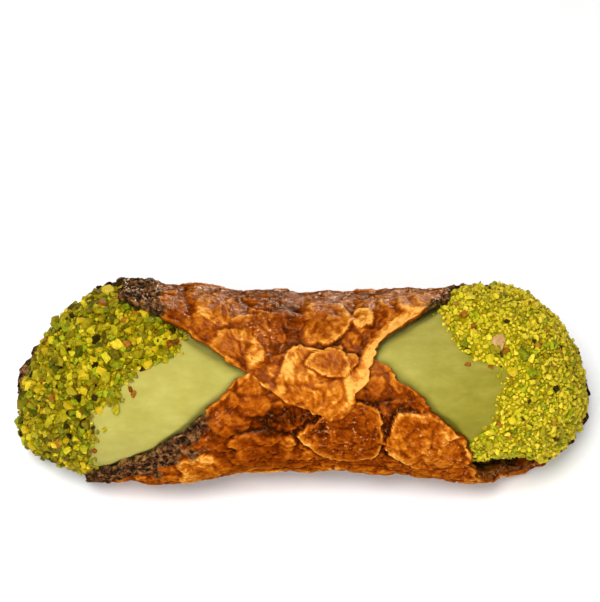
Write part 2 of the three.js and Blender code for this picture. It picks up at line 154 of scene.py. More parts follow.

# Oval patches that are paler (below 0) or darker (above 0): x, angle, half length, half width,
# how far the oval is turned, and by how much. Most follow the dough's frying; those marked below
# are painted shade and painted shadow.
SPOTS = [
    (4, -8, 8.5, 7.5, 0, -0.18),
    (-2, 9, 2.4, 3.6, 0, -0.2),
    (11.6, -1, 1.3, 2.8, 0, -0.4),
    (21, 21, 12, 3.5, 49, -0.8),
    # Painted shade along a groove in the upper flap.
    (14.6, 20, 5.6, 0.8, 66, 0.3),
    (-10.8, 18, 5.6, 2, -52, -0.26),
    (-17.5, 42, 5, 4, 0, 0.06),
    (-9, 60, 10, 5, 0, 0.1),
    (-14, 322, 16, 7, -28, 0.1),
    # Painted shade: a band along the bottom, where the tube turns away from the light.
    (2, 296, 34, 3.4, 0, 0.12),
    (-2.6, 40, 3.4, 8, 0, 0.24),
    # Painted shade: a band along the top, where the tube turns away from the light.
    (0, 76, 42, 3.4, 0, 0.12),
    (10.9, 324, 8.6, 8, 0, 0.2),
    (28, 316, 6, 7, 0, 0.12),
    # Painted shadow under the upper flap's tip, in this line and the next.
    (-3.6, 337, 6.8, 2.6, 12, 0.6),
    (-6, 326, 6.5, 1.3, 0, 0.5),
    (3, 333, 3, 3, 0, 0.3),
    # Painted shade in the crevice between the two lower discs.
    (20.7, 330, 0.9, 9, 0, 0.3),
    # Painted shadow under the upper flap's right edge.
    (17.6, 347, 3.6, 1.7, 0, 0.26),
    (25, 345, 6, 4, -50, 0.1),
    (-5.6, 330, 1.2, 1.2, 0, -0.3),
    (-14, 330, 6, 4, 0, 0.04),
    (-22.8, 300, 5.6, 4.4, 0, -0.06),
    (34, 322, 6.5, 6, -40, -0.08),
]

# Where painted glints lie, pale specks for fine bubbles catching the light: ovals as above, with
# how many of them do.
GLINTS = [
    (-8.2, 35, 4.5, 4, 0, 0.9),
    (-5, 22, 5, 4, 0, 0.5),
    (22, 24, 12, 3.5, 49, 0.6),
    (10.9, 324, 9, 8, 0, 0.45),
    (33, 322, 8, 6, -40, 0.9),
    (-36, 62, 8, 6, 0, 0.5),
    (-28, 318, 14, 3.5, 40, 0.5),
    (*LIP[:5], 0.8),
]

CREAM_SIDES = 230
DOME_RINGS, MIDDLE_RINGS = 90, 132
COAT_LUMPS = [(1.1, 0.4), (2.3, 0.5), (5, 0.6)]  # size and height of the lumps under the nuts
NUT_COAT = 0.6  # how much lower the cream lies where nuts cover it
NUT_CLEARANCE = 1.2  # nuts lie inside the mouths where the cream is further than this from the wall
NUT_FADE = (-2.4, 2.4)  # the nuts start this far outside their edge and are dense this far inside
NUT_SPACING = 0.34  # how close two pieces' middles may lie, as a share of their sizes
LARGE_FROM, LARGE_INSET = 1.7, 0.45  # larger pieces lie inside the edge by this share of their size

CHUNKS = {  # chopped pieces on each end: (size, how many at most), largest first
    -1: [(3.2, 20), (2.5, 110), (1.9, 560), (1.4, 1500), (1.0, 2800), (0.75, 3200)],
    1: [(2.6, 8), (2.0, 90), (1.5, 800), (1.1, 2800), (0.8, 4800)],
}
FLAT_SIDED_FROM = 1.2  # pieces from this size on keep their cut sides, smaller ones are rounded
KIND_SHARES = {  # what share of the pieces is of each kind
    -1: {"lime": 0.37, "olive": 0.31, "yellow": 0.19, "green": 0.1, "skin": 0.014, "dark": 0.016},
    1: {"lime": 0.47, "olive": 0.1, "yellow": 0.33, "green": 0.084, "skin": 0.008, "dark": 0.008},
}
RARE_BELOW = 0.11  # kinds with a smaller share than this lie in bunches of about BUNCH_SIZE
BUNCH_SIZE = 6
NUT_SHADES = {-1: (0, 0.95), 1: (0.6, 1.5)}  # from a kind's darkest colour, 0, to its palest, 1

# Single pieces that catch the eye, on the bare cream and among the others: x, angle, size, kind.
LONE_PIECES = [
    (-33.4, 24, 1.5, "dark"), (-36.6, 6, 1.5, "dark"), (-38.5, -8, 1.3, "skin"),
    (-30, 21, 1.7, "yellow"), (-46, -31, 1.9, "lime"), (-32.6, 31, 1.6, "green"),
    (-34.5, 16, 1.4, "lime"), (-36, 19, 1.5, "lime"), (-36.8, 44, 3.6, "yellow"),
    (-41, 38, 1.9, "skin"), (-41.2, 47, 2.6, "green"), (-57, 64, 3.4, "green"),
    (-47, 57, 2.6, "skin"), (-33.3, 36, 2.4, "green"), (-46.4, 18, 2.4, "yellow"),
    (-47.5, 13, 2.8, "yellow"), (-46.4, 5, 2.6, "yellow"), (-50.7, 4, 2.2, "yellow"),
    (-38.4, 27, 2, "yellow"), (-47.5, -11, 2, "dark"), (-43.5, -7, 2.8, "green"),
    (-47, -18, 2.2, "yellow"), (-42.7, -16, 2.4, "lime"), (-50.2, -30, 1.8, "dark"),
    (-66, -105, 3, "green"), (-60.5, -74, 1.6, "dark"), (-57.5, -69, 1.8, "dark"),
    (-42.2, 5, 1.8, "skin"), (-58.3, -17, 1.6, "skin"),
    (39.5, 17, 1.7, "dark"), (38.4, 22, 2.2, "green"), (39, 9, 1.3, "skin"),
    (44, 8, 1.6, "skin"), (46.5, 3, 1.4, "lime"), (45.6, 23, 2.8, "pink"), (47, 20, 2, "pink"),
    (51.6, 16, 3.6, "green"), (48.6, 38, 1.6, "dark"), (40.5, 33, 2, "skin"),
    (48.1, 17, 1.8, "skin"), (57.6, 43, 1.5, "skin"), (59.9, -8, 1.8, "dark"),
    (48.9, 5, 3, "yellow"), (49.6, -32, 1.6, "green"), (46.4, -27, 1.6, "skin"),
    (54.3, 27, 1.4, "dark"), (43.8, -39, 2.6, "lime"),
]

# ---- Small tools ----

MASK = 0xFFFFFFFF


def lerp(a, b, t):
    return a + (b - a) * t


def smoothstep(value, low, high):
    t = np.clip((value - low) / (high - low), 0, 1)
    return t * t * (3 - 2 * t)


def random_source(seed):
    """A seeded source of numbers from 0 to 1, the same as the CAD part's."""
    state = seed

    def draw():
        nonlocal state
        state = (state + 0x6D2B79F5) & MASK
        t = ((state ^ (state >> 15)) * (1 | state)) & MASK
        t = ((t + (((t ^ (t >> 7)) * (61 | t)) & MASK)) ^ t) & MASK
        return (t ^ (t >> 14)) / 4294967296

    return draw


def hashed(i, j, k):
    """A number from -1 to 1 for each lattice point."""
    h = ((i * 374761393) ^ (j * 668265263) ^ (k * 2147483647)) & MASK
    h = ((h ^ (h >> 13)) * 1274126177) & MASK
    return (h ^ (h >> 16)) / 2147483648 - 1


def noise(x, y, z):
    """Smooth noise from -1 to 1 on a lattice one unit apart, the same as the CAD part's."""
    x, y, z = np.broadcast_arrays(*(np.asarray(v, float) for v in (x, y, z)))
    i, j, k = (np.floor(v).astype(np.int64) for v in (x, y, z))
    u, v, w = (t * t * (3 - 2 * t) for t in (x - i, y - j, z - k))

    def edge(b, c):
        return lerp(hashed(i, b, c), hashed(i + 1, b, c), u)

    near = lerp(edge(j, k), edge(j + 1, k), v)
    far = lerp(edge(j, k + 1), edge(j + 1, k + 1), v)
    return lerp(near, far, w)


def layered_noise(x, y, z, octaves):
    """Noise with finer and weaker noise laid over it."""
    return sum(noise(x * 2**n, y * 2**n, z + 7 * n) * 0.5**n for n in range(octaves))


def curve_at(pairs, at):
    """The smooth curve through (position, value) pairs, read at many positions."""
    knots, values = (np.array(column, float) for column in zip(*pairs))
    last = len(pairs) - 1
    i = np.clip(np.searchsorted(knots, at, side="left") - 1, 0, last - 1)
    before, after = np.maximum(np.arange(last + 1) - 1, 0), np.minimum(np.arange(last + 1) + 1, last)
    slopes = (values[after] - values[before]) / (knots[after] - knots[before])
    span = knots[i + 1] - knots[i]
    t = np.clip((at - knots[i]) / span, 0, 1)
    t2, t3 = t * t, t * t * t
    return (
        (2 * t3 - 3 * t2 + 1) * values[i] + (t3 - 2 * t2 + t) * span * slopes[i]
        + (3 * t2 - 2 * t3) * values[i + 1] + (t3 - t2) * span * slopes[i + 1]
    )


def arc(angle):
    """How far an angle is round the smooth tube, in mm."""
    return np.radians(angle) * TUBE_RADIUS


def place(x, angle, radius):
    """Points in the pastry's own frame."""
    turned = np.radians(angle)
    x, y, z = np.broadcast_arrays(x, radius * np.sin(turned), radius * np.cos(turned))
    return np.stack([x, y, z], axis=-1)


def on_table(points):
    """Points of the pastry's own frame in mm, leaned and put on the table, in metres."""
    lean = np.radians(90 - SEAM_ELEVATION)
    x, y, z = points[..., 0], points[..., 1], points[..., 2]
    leaned = np.stack([x, y * np.cos(lean) - z * np.sin(lean), y * np.sin(lean) + z * np.cos(lean)], -1)
    leaned = leaned + np.array(PASTRY_CENTRE)
    leaned[..., 2] = np.maximum(leaned[..., 2], 0)
    return leaned / 1000


def add_object(name, data):
    obj = bpy.data.objects.new(name, data)
    bpy.context.scene.collection.objects.link(obj)
    return obj


def mesh_object(name, points, triangles):
    """A mesh object from pastry points in mm."""
    mesh = bpy.data.meshes.new(name)
    mesh.from_pydata(on_table(points).tolist(), [], np.asarray(triangles).tolist())
    return add_object(name, mesh)


def set_attribute(obj, name, values):
    attribute = obj.data.attributes.new(name, "FLOAT", "POINT")
    attribute.data.foreach_set("value", np.asarray(values, np.float32))


def stitch(near, far, flip=False):
    """The triangles between two lines of points, walked side by side by their share of the way."""
    triangles = []
    i, j = 0, 0
    while i + 1 < len(near) or j + 1 < len(far):
        near_first = (i + 1) * max(len(far) - 1, 1) <= (j + 1) * max(len(near) - 1, 1)
        if j + 1 == len(far) or (i + 1 < len(near) and near_first):
            triangle = (near[i], near[i + 1], far[j])
            i += 1
        else:
            triangle = (near[i], far[j + 1], far[j])
            j += 1
        triangles.append(triangle[::-1] if flip else triangle)
    return triangles


def blurred(values, edges, rounds):
    """Values on a mesh's points, averaged with their neighbours' several times."""
    count = len(values)
    a, b = edges.T
    around = np.bincount(a, minlength=count) + np.bincount(b, minlength=count)
    for _ in range(rounds):
        total = np.bincount(a, values[b], count) + np.bincount(b, values[a], count)
        values = 0.5 * values + 0.5 * total / np.maximum(around, 1)
    return values


# ---- The dough's wall ----


def swell_at(x, angle):
    total = 0
    for at_x, at_angle, half_length, half_angle, height in SWELLS:
        along = (x - at_x) / half_length
        across = (np.mod(angle, 360) - at_angle) / half_angle
        total = total + height * np.exp(-along * along - across * across)
    return total


def smooth_radius(x, angle):
    """The tube's smooth outside, without the upper flap's rise."""
    return TUBE_RADIUS + FLARE * smoothstep(np.abs(x), FLARE_FROM, FLARE_TO) + swell_at(x, angle)


def flap_lift(angle):
    return FLAP_LIFT * (1 - smoothstep(angle, FLAP_LIFT_TO, FLAP_LIFT_FROM))


def rim_at(side, angle):
    """The frayed rims: a side of -1 is the left rim and 1 the right one."""
    fray = 0.7 * noise(angle / 9, side * 7, SEED) + 0.4 * noise(angle / 4, side * 3, SEED)
    return curve_at(LEFT_RIM if side < 0 else RIGHT_RIM, angle) + fray


def scatter_blisters():
    random = random_source(SEED)
    blisters = []
    for _ in range(BLISTER_COUNT):
        angle = lerp(WRAP_START, WRAP_END, random())
        x = lerp(rim_at(-1, angle), rim_at(1, angle), random())
        radius = lerp(*BLISTER_RADIUS, random() ** 1.5)
        height = lerp(*BLISTER_HEIGHT, random())
        blisters.append((x, angle, radius, height))
    return blisters


def relief(x, angle):
    """How far the fried surface stands up from the smooth tube, as in the CAD part."""
    around = arc(angle)
    height = RIPPLE_HEIGHT * noise(x / RIPPLE_LENGTH, around / RIPPLE_LENGTH, SEED)
    for at_x, at_angle, radius, rise in scatter_blisters():
        along = (x - at_x) / radius
        across = arc(angle - at_angle) / radius
        near = 1 - along * along - across * across
        height = np.maximum(height, np.where(near > 0, rise * np.sqrt(np.maximum(near, 0)), -9))
    return height - RELIEF_SUNK


def cells_around(u, v, size):
    """The nine square cells of the plane at and around each place."""
    i, j = (np.floor(along / size).astype(np.int64) for along in (u, v))
    return [(i + di, j + dj) for di in (-1, 0, 1) for dj in (-1, 0, 1)]


def cell_domes(u, v, size, share, seed):
    """Flattened bubbles of several sizes, at most one to each square cell of the plane."""
    best = np.zeros_like(u)
    for i, j in cells_around(u, v, size):
        draw = [0.5 + 0.5 * hashed(i, j, seed + n) for n in range(4)]
        radius = size * lerp(0.35, 0.95, draw[2])
        along = (u - (i + draw[0]) * size) / radius
        across = (v - (j + draw[1]) * size) / radius
        near = np.maximum(1 - along * along - across * across, 0)
        best = np.maximum(best, np.where(draw[3] < share, near**0.4 * radius / size, 0))
    return best


def cell_flakes(u, v, size, seed):
    """Overlapping tilted flakes, one to each square cell: their height, 0 to 1, and their tone."""
    best, tone = np.zeros_like(u), np.zeros_like(u)
    for i, j in cells_around(u, v, size):
        draw = [hashed(i, j, seed + n) for n in range(6)]
        from_u = u - (i + 0.5 + 0.4 * draw[0]) * size
        from_v = v - (j + 0.5 + 0.4 * draw[1]) * size
        cos, sin = np.cos(np.pi * draw[2]), np.sin(np.pi * draw[2])
        half = size * (0.66 + 0.2 * draw[3])
        along = (from_u * cos + from_v * sin) / half
        across = (from_v * cos - from_u * sin) / (half * (0.75 + 0.2 * draw[4]))
        inside = 1 - smoothstep(np.hypot(along, across), 0.9, 1)
        height = (0.52 + 0.48 * along) * inside
        tone = np.where(height > best, draw[5], tone)
        best = np.maximum(best, height)
    return best, tone


def creased(u, v):
    """Thin raised creases as in crumpled foil, 1 on the sharpest."""
    total = 0
    for n in range(3):
        fold = 1 - np.abs(noise(u / CREASE_SIZE * 2**n, v / CREASE_SIZE * 2**n, 47 + 7 * n))
        total = total + 0.5**n * fold**3
    return total / 1.6


def to_oval(x, angle, at_x, at_angle, half_length, half_width, turned=0):
    """A place as seen from an oval: 1 unit from its middle to its outline."""
    along = x - at_x
    across = arc(angle - at_angle)
    cos, sin = np.cos(np.radians(turned)), np.sin(np.radians(turned))
    return (along * cos + across * sin) / half_length, (across * cos - along * sin) / half_width


def patches(ovals, x, angle):
    """The sum of soft oval patches, each with its strength."""
    total = np.zeros_like(x)
    for *oval, strength in ovals:
        p, q = to_oval(x, angle, *oval)
        total = total + strength * np.exp(-((p * p + q * q) ** 2))
    return total


def add_plate(plate, x, angle, height, fried_and_shade):
    """Lays one flake on the crust, its outline wavy and frayed."""
    rise, darker, crisp, side = plate[4:]
    p, q = to_oval(x, angle, *plate[:4])
    around = arc(angle)
    wobble = 1 + 0.22 * noise(p * 1.6 + plate[0], q * 1.6 + plate[1], 5)
    fray = 1 + 0.05 * noise(x / 1.9, around / 1.9, 9) + 0.04 * noise(x / 0.8, around / 0.8, 10)
    share = np.hypot(p, q) / (wobble * fray)
    if side is not None:
        facing = np.cos(np.arctan2(q, p) - np.radians(side))
        crisp = crisp * smoothstep(facing, -0.4, 0.4)
    soft = lerp(0.34, 0.05, np.minimum(crisp * 1.5, 1))
    inside = 1 - smoothstep(share, 1 - soft, 1 + soft)
    top = rise * (0.7 + 0.2 * share * share) + 0.14 * crisp * smoothstep(share, 0.86, 0.97)
    height = lerp(height, np.maximum(height, 0.45 * height + top * 0.75), inside)
    fried_and_shade = fried_and_shade + darker * inside
    fried_and_shade = fried_and_shade - 0.3 * crisp * smoothstep(share, 0.93, 0.97) * (1 - smoothstep(share, 1.0, 1.03))
    # Painted shade: the crevice round a crisp outline is painted darker as well as sunk.
    crevice = crisp * smoothstep(share, 1.0, 1.05) * (1 - smoothstep(share, 1.06, 1.22))
    return height - 0.3 * crevice, fried_and_shade + 0.14 * crevice


def crust(x, angle):
    """The crust's height over the smooth tube and how much darker or paler it is, painted shade
    included.
    """
    around = arc(angle)
    u = x + 0.9 * layered_noise(x / 3.2, around / 3.2, 31, 3)
    v = around + 0.9 * layered_noise(x / 3.2, around / 3.2, 37, 3)
    rough = smoothstep(noise(x / 9, around / 9, 41), -0.6, 0.4)
    bent = 1.5 * layered_noise(x / 4, around / 4, 45, 2)
    height = 0.62 * relief(x + bent, angle + np.degrees(bent / TUBE_RADIUS)) - 0.3
    large, large_tone = cell_flakes(u, v, LARGE_FLAKES[0], 101)
    height, fried_and_shade = height + LARGE_FLAKES[1] * large, 0.05 * large_tone * (large > 0)
    for plate in PLATES:
        height, fried_and_shade = add_plate(plate, x, angle, height, fried_and_shade)
    small, small_tone = cell_flakes(u, v, SMALL_FLAKES[0], 151)
    height, fried_and_shade = height + SMALL_FLAKES[1] * small, fried_and_shade + 0.05 * small_tone * (small > 0)
    for (size, smooth_rise, rough_rise, share), seed in ((LARGE_BUBBLES, 201), (SMALL_BUBBLES, 301)):
        height = height + lerp(smooth_rise, rough_rise, rough) * cell_domes(u, v, size, share, seed)
    height = height + CREASE_HEIGHT * creased(u, v)
    crumbs = sum(
        rise * cell_domes(u, v, size, 0.9, seed)
        for (size, rise), seed in ((LARGE_CRUMBS, 501), (SMALL_CRUMBS, 551))
    )
    height = height + lining_at(x, angle) * (crumbs - 0.35)
    return height, fried_and_shade + patches(SPOTS, x, angle)


def lining_at(x, angle):
    """How black the crust is near its rims, from 0 to 1."""
    around = arc(angle)
    lining_and_shade = np.zeros_like(x)
    for side in (-1, 1):
        width = np.interp(angle, *zip(*DARK_RIMS[side]))
        ragged = width * (1 + 0.3 * layered_noise(x / 3.1, around / 3.1, 57, 3))
        inside = smoothstep(ragged - rim_distance(side, x, angle), -0.3, 0.9)
        lining_and_shade = np.maximum(lining_and_shade, inside * (width > 0))
    return lining_and_shade


def rim_distance(side, x, angle, step=2):
    """How far inside a rim a place lies, measured square to the rim."""
    slope = (rim_at(side, angle + step) - rim_at(side, angle - step)) / (2 * arc(step))
    return side * (rim_at(side, angle) - x) / np.hypot(1, slope)


def inside_rims(x, angle, step=2):
    """How far inside the nearer rim a place lies."""
    return np.minimum(*(rim_distance(side, x, angle, step) for side in (-1, 1)))


def back_share(angle):
    """0 on the side of the wrap that faces up and forward, 1 at the back."""
    return smoothstep(angle, 92, 112) * (1 - smoothstep(angle, 246, 266))


def row_angles():
    angles = [float(WRAP_START)]
    while angles[-1] < WRAP_END:
        spacing = lerp(FINE_GRID, COARSE_GRID, back_share(angles[-1]))
        angles.append(angles[-1] + np.degrees(spacing / TUBE_RADIUS))
    angles[-1] = WRAP_END
    return np.array(angles)


def rim_with_fringe(side, angle):
    """The rim with the crumbs and notches that are too fine for the CAD part."""
    lumps = 0.8 * noise(angle / 5, side * 17, SEED) + 0.4 * noise(angle / 1.8, side * 13, SEED)
    tip = TIP_WIDER[side] * (1 - smoothstep(angle, TIP_TO, TIP_FROM))
    return rim_at(side, angle) + tip + lumps + 0.16 * noise(angle / 0.9, side * 11, SEED)


def ragged_end(x, angle):
    """How the upper flap's last edge wanders from a straight line, in degrees."""
    rounded = 5 - 5.4 * np.exp(-(((x - 8) / 2.6) ** 2))
    wander = rounded + 0.7 * noise(x / 2.1, 5, SEED) + 0.5 * noise(x / 0.8, 6, SEED)
    return wander * (1 - smoothstep(angle, WRAP_START, WRAP_START + 12))


def dough_lines(angles, spacing_of, first):
    """The points of one face of the sheet, line by line: their numbers, x and angles."""
    lines, xs, turns = [], [], []
    for angle in angles:
        left, right = rim_with_fringe(-1, angle), rim_with_fringe(1, angle)
        count = max(3, round((right - left) / spacing_of(angle)))
        lines.append(list(range(first, first + count + 1)))
        xs.append(np.linspace(left, right, count + 1))
        turns.append(angle + ragged_end(xs[-1], angle))
        first += count + 1
    return lines, np.concatenate(xs), np.concatenate(turns)


def outer_face(x, angle):
    """The sheet's outside: its relief, its frying tone with painted shade, how far inside the rims,
    the radius.
    """
    height, fried_and_shade = crust(x, angle)
    inward = np.maximum(inside_rims(x, angle), 0)
    height = height + 0.3 * (1 - smoothstep(inward, 0, 1.3))
    return height, fried_and_shade, inward, smooth_radius(x, angle) + flap_lift(angle) + height


def inner_face(x, angle):
    """The sheet's inside, lumpy at the lip: how far inside the rims, the lumps and the radius."""
    inward = inside_rims(x, angle)
    tube = smooth_radius(x, angle) + flap_lift(angle)
    full = tube - WALL
    thin = tube + crust(x, angle)[0] + 0.3 - RIM_THICKNESS
    radius = lerp(np.minimum(thin, full + WALL - 0.6), full, smoothstep(inward, 0, RIM_TAPER))
    lumps = cell_domes(x, arc(angle), LIP_LUMP_SIZE, 1.0, 601)
    return inward, lumps, radius - LIP_LUMP_HEIGHT * patches([LIP], x, angle) * lumps


def rim_layers(side, x, rows, outside, inside):
    """The points of each layer in a broken rim, from the outer face to the inner one."""
    crumbly = lerp(RIM_JITTER, LIP_JITTER, patches([LIP], x, rows))
    for n, out in enumerate(RIM_LAYERS):
        rim_x = x + side * (out + crumbly * noise(rows / 1.7, n * 5 + side, 61))
        radius = lerp(outside, inside, (n + 1) / (len(RIM_LAYERS) + 1))
        radius = radius + (crumbly - RIM_JITTER) * noise(rows / 1.3, n * 7 + side, 62)
        yield place(rim_x, rows + ragged_end(rim_x, rows), radius)


def make_shell():
    rows = row_angles()
    inner_rows = np.append(rows[:-1:INNER_EVERY], rows[-1])
    outer, x, angle = dough_lines(rows, lambda a: lerp(FINE_GRID, COARSE_GRID, back_share(a)), 0)
    inner, xi, ai = dough_lines(inner_rows, lambda a: INNER_GRID, len(x))
    height, fried_and_shade, inward, outside = outer_face(x, angle)
    inner_in, lumps, inside = inner_face(xi, ai)
    points = [place(x, angle, outside), place(xi, ai, inside)]

    triangles = []
    for near, far in zip(outer, outer[1:]):
        triangles += stitch(near, far)
    for near, far in zip(inner, inner[1:]):
        triangles += stitch(near, far, flip=True)
    triangles += stitch(inner[0], outer[0]) + stitch(inner[-1], outer[-1], flip=True)

    start = len(x) + len(xi)
    for side, end in ((-1, 0), (1, -1)):
        top = np.array([line[end] for line in outer])
        bottom = np.array([line[end] for line in inner])
        below = np.interp(rows, inner_rows, inside[bottom - len(x)])
        chain = [list(top)]
        for layer in rim_layers(side, x[top], rows, outside[top], below):
            points.append(layer)
            chain.append(list(range(start, start + len(rows))))
            start += len(rows)
        chain.append(list(bottom))
        for near, far in zip(chain, chain[1:]):
            triangles += stitch(near, far, flip=side > 0)
    shell = mesh_object("crisp_shell", np.concatenate(points), triangles)
    close_and_orient(shell)
    outer_paint = paint_outside(shell.data, x, angle, height, fried_and_shade, inward)
    paint_shell(shell, [outer_paint, paint_inside(xi, ai, inner_in, lumps), *paint_rims(rows)])
    return shell


def close_and_orient(obj):
    """Fills what is left open, turns every face outwards and shades it smooth."""
    bm = bmesh.new()
    bm.from_mesh(obj.data)
    bmesh.ops.holes_fill(bm, edges=[e for e in bm.edges if e.is_boundary], sides=12)
    bmesh.ops.triangulate(bm, faces=[f for f in bm.faces if len(f.verts) > 3])
    bmesh.ops.recalc_face_normals(bm, faces=bm.faces)
    for face in bm.faces:
        face.smooth = True
    bm.to_mesh(obj.data)
    bm.free()


def paint_outside(mesh, x, angle, height, fried_and_shade, inward):
    """Toast, lining and glint of the sheet's outside. Hollows get painted shade and raised ridges a
    painted highlight, from the relief; the rims are paler.
    """
    edges = np.zeros(len(mesh.edges) * 2, np.int32)
    mesh.edges.foreach_get("vertices", edges)
    edges = edges.reshape(-1, 2)
    edges = edges[(edges < len(x)).all(axis=1)]
    wide = blurred(height, edges, 70) - height
    near = blurred(height, edges, 9) - height
    around = arc(angle)
    toast_and_shade = 0.44 + fried_and_shade + 0.1 * noise(x / 7, around / 7, 51)
    toast_and_shade = toast_and_shade + 0.07 * layered_noise(x / 2.6, around / 2.6, 53, 3)
    # Painted shade and highlight: lower places are painted darker, raised ones paler.
    toast_and_shade = toast_and_shade + 0.12 * np.clip(wide / 0.4, -0.9, 1.1) + 0.13 * np.clip(near / 0.1, -1.3, 1.2)
    toast_and_shade = toast_and_shade - 0.1 * (1 - smoothstep(inward, 0, 1.1))
    lining_and_shade = lining_at(x, angle)
    # Painted glints: a few everywhere, more in the GLINTS ovals, 0.3 on the black lining.
    return toast_and_shade, lining_and_shade, lerp(0.32 + patches(GLINTS, x, angle), 0.3, lining_and_shade)


def paint_inside(x, angle, inward, lumps):
    """Toast, lining and glint of the sheet's inside: painted shade makes it darker, and nearly black,
    the further inside the rims it lies. The lower lip is painted paler as painted light, most on its
    lumps, and gets painted glints.
    """
    lip = patches([LIP], x, angle)
    # Painted shade in the hollow: nearly black from 0.5 to 3 mm inside the rims on, darker from 5 to 9
    # mm.
    toast_and_shade = 0.74 + 0.15 * noise(x / 3, angle / 8, 65) + 0.2 * smoothstep(inward, 5, 9)
    # Painted light: the lower lip is painted paler, most on the tops of its lumps.
    toast_and_shade = toast_and_shade - lip * (0.4 * lumps + 0.25 * noise(x / 1.4, angle / 4, 67))
    lining_and_shade = np.maximum(lining_at(x, angle), 0.9 * smoothstep(inward, 0.5, 3))
    return toast_and_shade, lining_and_shade, 0.9 * lip


def paint_rims(rows):
    """Toast, lining and glint of each layer in the broken rims. In the lower lip the layers are painted
    blacker the further inside they lie, partly the lip's own dark crumbs and partly painted shade
    towards the hollow, and painted glints lie on them.
    """
    for side in (-1, 1):
        rim_x = rim_at(side, rows)
        lip = patches([LIP], rim_x, rows)
        far_out = 0.2 * smoothstep(np.abs(rim_x), 42, 60) * (1 - lip)
        for n in range(len(RIM_LAYERS)):
            deep = n / (len(RIM_LAYERS) - 1)
            patchy = lerp(0.2, 0.4, lip) * noise(rows / 2.2, n * 3 + side, 63)
            # In the lower lip: its own dark crumbs, and painted shade that blackens the inner layers.
            lining_and_shade = np.maximum(lining_at(rim_x - side * 0.2, rows), lip * lerp(0.1, 0.8, deep))
            yield 0.46 + 0.16 * deep + patchy + far_out, lining_and_shade, lip


def paint_shell(shell, parts):
    """Stores each place's frying tone with its painted shade and highlight, how black it is, painted
    shade included, and where bubbles get painted glints.
    """
    for name, values in zip(("toast_and_shade", "lining_and_shade", "glint"), zip(*parts)):
        set_attribute(shell, name, np.clip(np.concatenate(values), 0, 1))


# ---- The cream ----


def exposure(x, angle):
    """How far a place lies outside the dough's rims, measured square to them."""
    result = np.full(np.shape(x), np.inf)
    for layer in (np.mod(angle, 360), np.mod(angle, 360) - 360, np.mod(angle, 360) + 360):
        on_dough = (layer >= WRAP_START) & (layer <= WRAP_END)
        result = np.where(on_dough, np.minimum(result, -inside_rims(x, layer, 4)), result)
    return result


def by_end(x, key):
    return np.where(x < 0, ENDS[0][key], ENDS[1][key])


def cream_section(x):
    """The radius of the cream's round section at x, and the y and z that it is centred on."""
    inward = np.clip((by_end(x, "tip") - np.abs(x)) / by_end(x, "dome"), 0, 1)
    power = by_end(x, "power")
    share = (1 - (1 - inward) ** power) ** (1 / power)
    lean = by_end(x, "lean")
    offset = LEAN_SHARE * (smooth_radius(x, lean) - WALL - CREAM_GAP) * (1 - share)
    centre = place(x, lean, offset)
    return by_end(x, "radius") * share, centre[..., 1], centre[..., 2]


def hollow_share(x, angle):
    """How much of the hollow over the lower lip there is at a place, from 0 to 1."""
    along = (x - LIP_HOLLOW["x"]) / LIP_HOLLOW["half_length"]
    across = (np.mod(angle, 360) - LIP_HOLLOW["angle"]) / LIP_HOLLOW["half_angle"]
    return np.exp(-(along**4) - across**2)


def cream_limit(x, angle):
    """The most that the cream may stand out from the axis at a place."""
    crown = lerp(CREAM_CROWN, END_CROWN, smoothstep(np.abs(x), END_CROWN_FROM, END_CROWN_TO))
    outside = exposure(x, angle)
    open_share = smoothstep(outside, CROWN_FROM, CROWN_TO)
    if open_share.ndim == 2:
        open_share = softened(open_share, 2)
    wall = smooth_radius(x, angle) - WALL + RIM_FILL * smoothstep(outside, -3.5, 0)
    return wall - CREAM_GAP + crown * open_share - LIP_HOLLOW["depth"] * hollow_share(x, angle)


def cream_points(x, around):
    """Where rays out of the section's centre meet the cream."""
    radius, centre_y, centre_z = cream_section(x)
    point = place(x, around, radius)
    point[..., 1] += centre_y
    point[..., 2] += centre_z
    reach = np.hypot(point[..., 1], point[..., 2])
    limit = cream_limit(x, angle_of(point))
    kept = np.where(reach > limit, limit / np.maximum(reach, 1e-6), 1)
    point[..., 1] *= kept
    point[..., 2] *= kept
    return point


def softened(grid, rounds):
    """A grid of values round the tube, averaged with its neighbours several times."""
    for _ in range(rounds):
        grid = (np.roll(grid, 1, axis=1) + np.roll(grid, -1, axis=1) + 2 * grid) / 4
        grid[1:-1] = (grid[:-2] + grid[2:] + 2 * grid[1:-1]) / 4
    return grid


def angle_of(point):
    return np.degrees(np.arctan2(point[..., 1], point[..., 2]))


def nut_cover(point):
    """How far inside the nuts' coating a place on the cream lies."""
    x, angle = point[..., 0], angle_of(point)
    edges = [curve_at(end["nut_edge"], np.clip(angle, -75, 75)) for end in ENDS]
    edge = np.where(x < 0, edges[0], edges[1])
    clear_of_wall = smooth_radius(x, angle) - WALL - np.hypot(point[..., 1], point[..., 2])
    uncovered = np.maximum(exposure(x, angle), 2 * (clear_of_wall - NUT_CLEARANCE))
    return np.minimum(np.abs(x) - edge, uncovered)


def cream_rings():
    """The x of the cream's rings, closer together at the two tips."""
    left, right = ENDS
    way = (np.arange(1, DOME_RINGS + 1) / DOME_RINGS) ** 2
    first = -(left["tip"] - left["dome"] * way)
    last = (right["tip"] - right["dome"] * way)[::-1]
    middle = np.linspace(first[-1], last[0], MIDDLE_RINGS + 2)[1:-1]
    return np.concatenate([first, middle, last])


